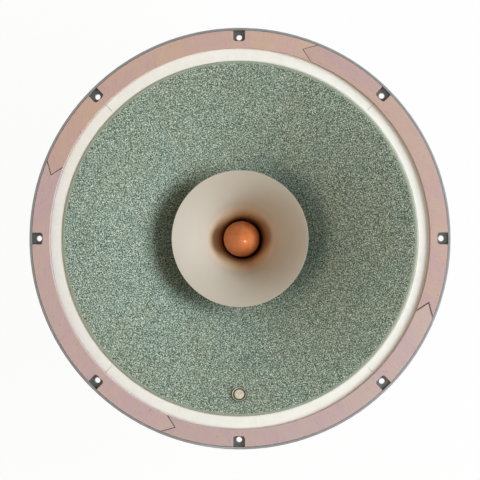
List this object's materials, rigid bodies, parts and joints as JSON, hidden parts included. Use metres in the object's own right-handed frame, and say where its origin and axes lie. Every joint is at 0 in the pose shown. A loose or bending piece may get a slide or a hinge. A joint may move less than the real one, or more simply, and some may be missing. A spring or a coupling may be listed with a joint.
{
  "type": "full-range speaker driver",
  "caption": "Round full-range speaker driver with a large paper cone, a whizzer cone, a fixed phase plug, a spoked basket and a field-coil magnet.",
  "frame": {"origin": "centre of the mounting-hole circle on the flange's rear face", "axes": "+Z along the driver's axis, out of its front; +Y is up in the picture and -Y is the side of the terminals"},
  "size_m": [0.3869, 0.387, 0.1871],
  "materials": {
    "basket_paint": "cast aluminium, satin dark grey enamel",
    "gasket_fibre": "pressed fibre board, pinkish beige",
    "surround_leather": "thin ivory skin, matt",
    "cone_pulp": "coarse pale green paper pulp, matt",
    "whizzer_paper": "smooth cream paper, faintly lacquered",
    "former_foil": "rolled foil",
    "magnet_wire": "enamelled copper wire",
    "tinsel": "braided copper tinsel",
    "badge_brass": "aged brass, bare",
    "eyelet_brass": "pressed brass",
    "plug_copper": "turned copper under clear lacquer",
    "cap_copper": "spun copper",
    "disc_cloth": "resin-dipped woven cloth",
    "ring_board": "pressed board",
    "zinc_steel": "zinc-plated steel",
    "spring_steel": "drawn spring wire",
    "plate_steel": "turned soft iron, zinc-plated",
    "pot_enamel": "soft iron, hammered grey enamel",
    "coil_board": "varnished board",
    "terminal_laminate": "phenolic paper laminate",
    "terminal_nickel": "nickel-plated brass",
    "button_black": "moulded black",
    "button_red": "moulded red"
  },
  "bodies": {
    "chassis": {"basket": "basket_paint", "gasket_segment_1": "gasket_fibre", "gasket_segment_2": "gasket_fibre", "gasket_segment_3": "gasket_fibre", "gasket_segment_4": "gasket_fibre", "surround_strip_1": "surround_leather", "surround_strip_2": "surround_leather", "surround_strip_3": "surround_leather", "surround_strip_4": "surround_leather", "field_coil_winding": "magnet_wire", "tinsel_lead_left": "tinsel", "tinsel_lead_right": "tinsel", "field_terminal_screws": "eyelet_brass", "phase_plug": "plug_copper", "pole_cap": "cap_copper", "centring_disc": "disc_cloth", "disc_clamp_ring": "ring_board", "clamp_ring_screws": "zinc_steel", "basket_screws": "zinc_steel", "back_plate_screws": "zinc_steel", "pole_bolt": "zinc_steel", "plug_stud": "zinc_steel", "terminal_board_screws": "zinc_steel", "field_block_screws": "zinc_steel", "terminal_spring_left": "spring_steel", "terminal_spring_right": "spring_steel", "front_plate": "plate_steel", "pole_piece": "plate_steel", "pot": "pot_enamel", "back_plate": "pot_enamel", "field_coil_bobbin": "coil_board", "terminal_board": "terminal_laminate", "field_terminal_block": "terminal_laminate", "terminal_body_left": "terminal_nickel", "terminal_body_right": "terminal_nickel"},
    "moving_cone": {"main_cone": "cone_pulp", "whizzer_cone": "whizzer_paper", "coil_former": "former_foil", "voice_coil_winding": "magnet_wire", "cone_badge": "badge_brass", "lead_eyelets": "eyelet_brass", "coil_leads": "magnet_wire"},
    "plunger_left": {"terminal_plunger_left": "button_black"},
    "plunger_right": {"terminal_plunger_right": "button_red"}
  },
  "joints": [
    {"name": "cone_stroke", "type": "slide", "parent": "chassis", "child": "moving_cone", "axis": [0, 0, 1], "range_m": [-0.003, 0.003], "stiffness_N_per_m": 4500, "deforming": ["surround_strip_1", "surround_strip_2", "surround_strip_3", "surround_strip_4", "centring_disc", "tinsel_lead_left", "tinsel_lead_right"]},
    {"name": "left_terminal_press", "type": "slide", "parent": "chassis", "child": "plunger_left", "axis": [0, 1, 0], "range_m": [0, 0.003], "stiffness_N_per_m": 300, "springref_m": -0.003, "deforming": ["terminal_spring_left"]},
    {"name": "right_terminal_press", "type": "slide", "parent": "chassis", "child": "plunger_right", "axis": [0, 1, 0], "range_m": [0, 0.003], "stiffness_N_per_m": 300, "springref_m": -0.003, "deforming": ["terminal_spring_right"]}
  ]
}
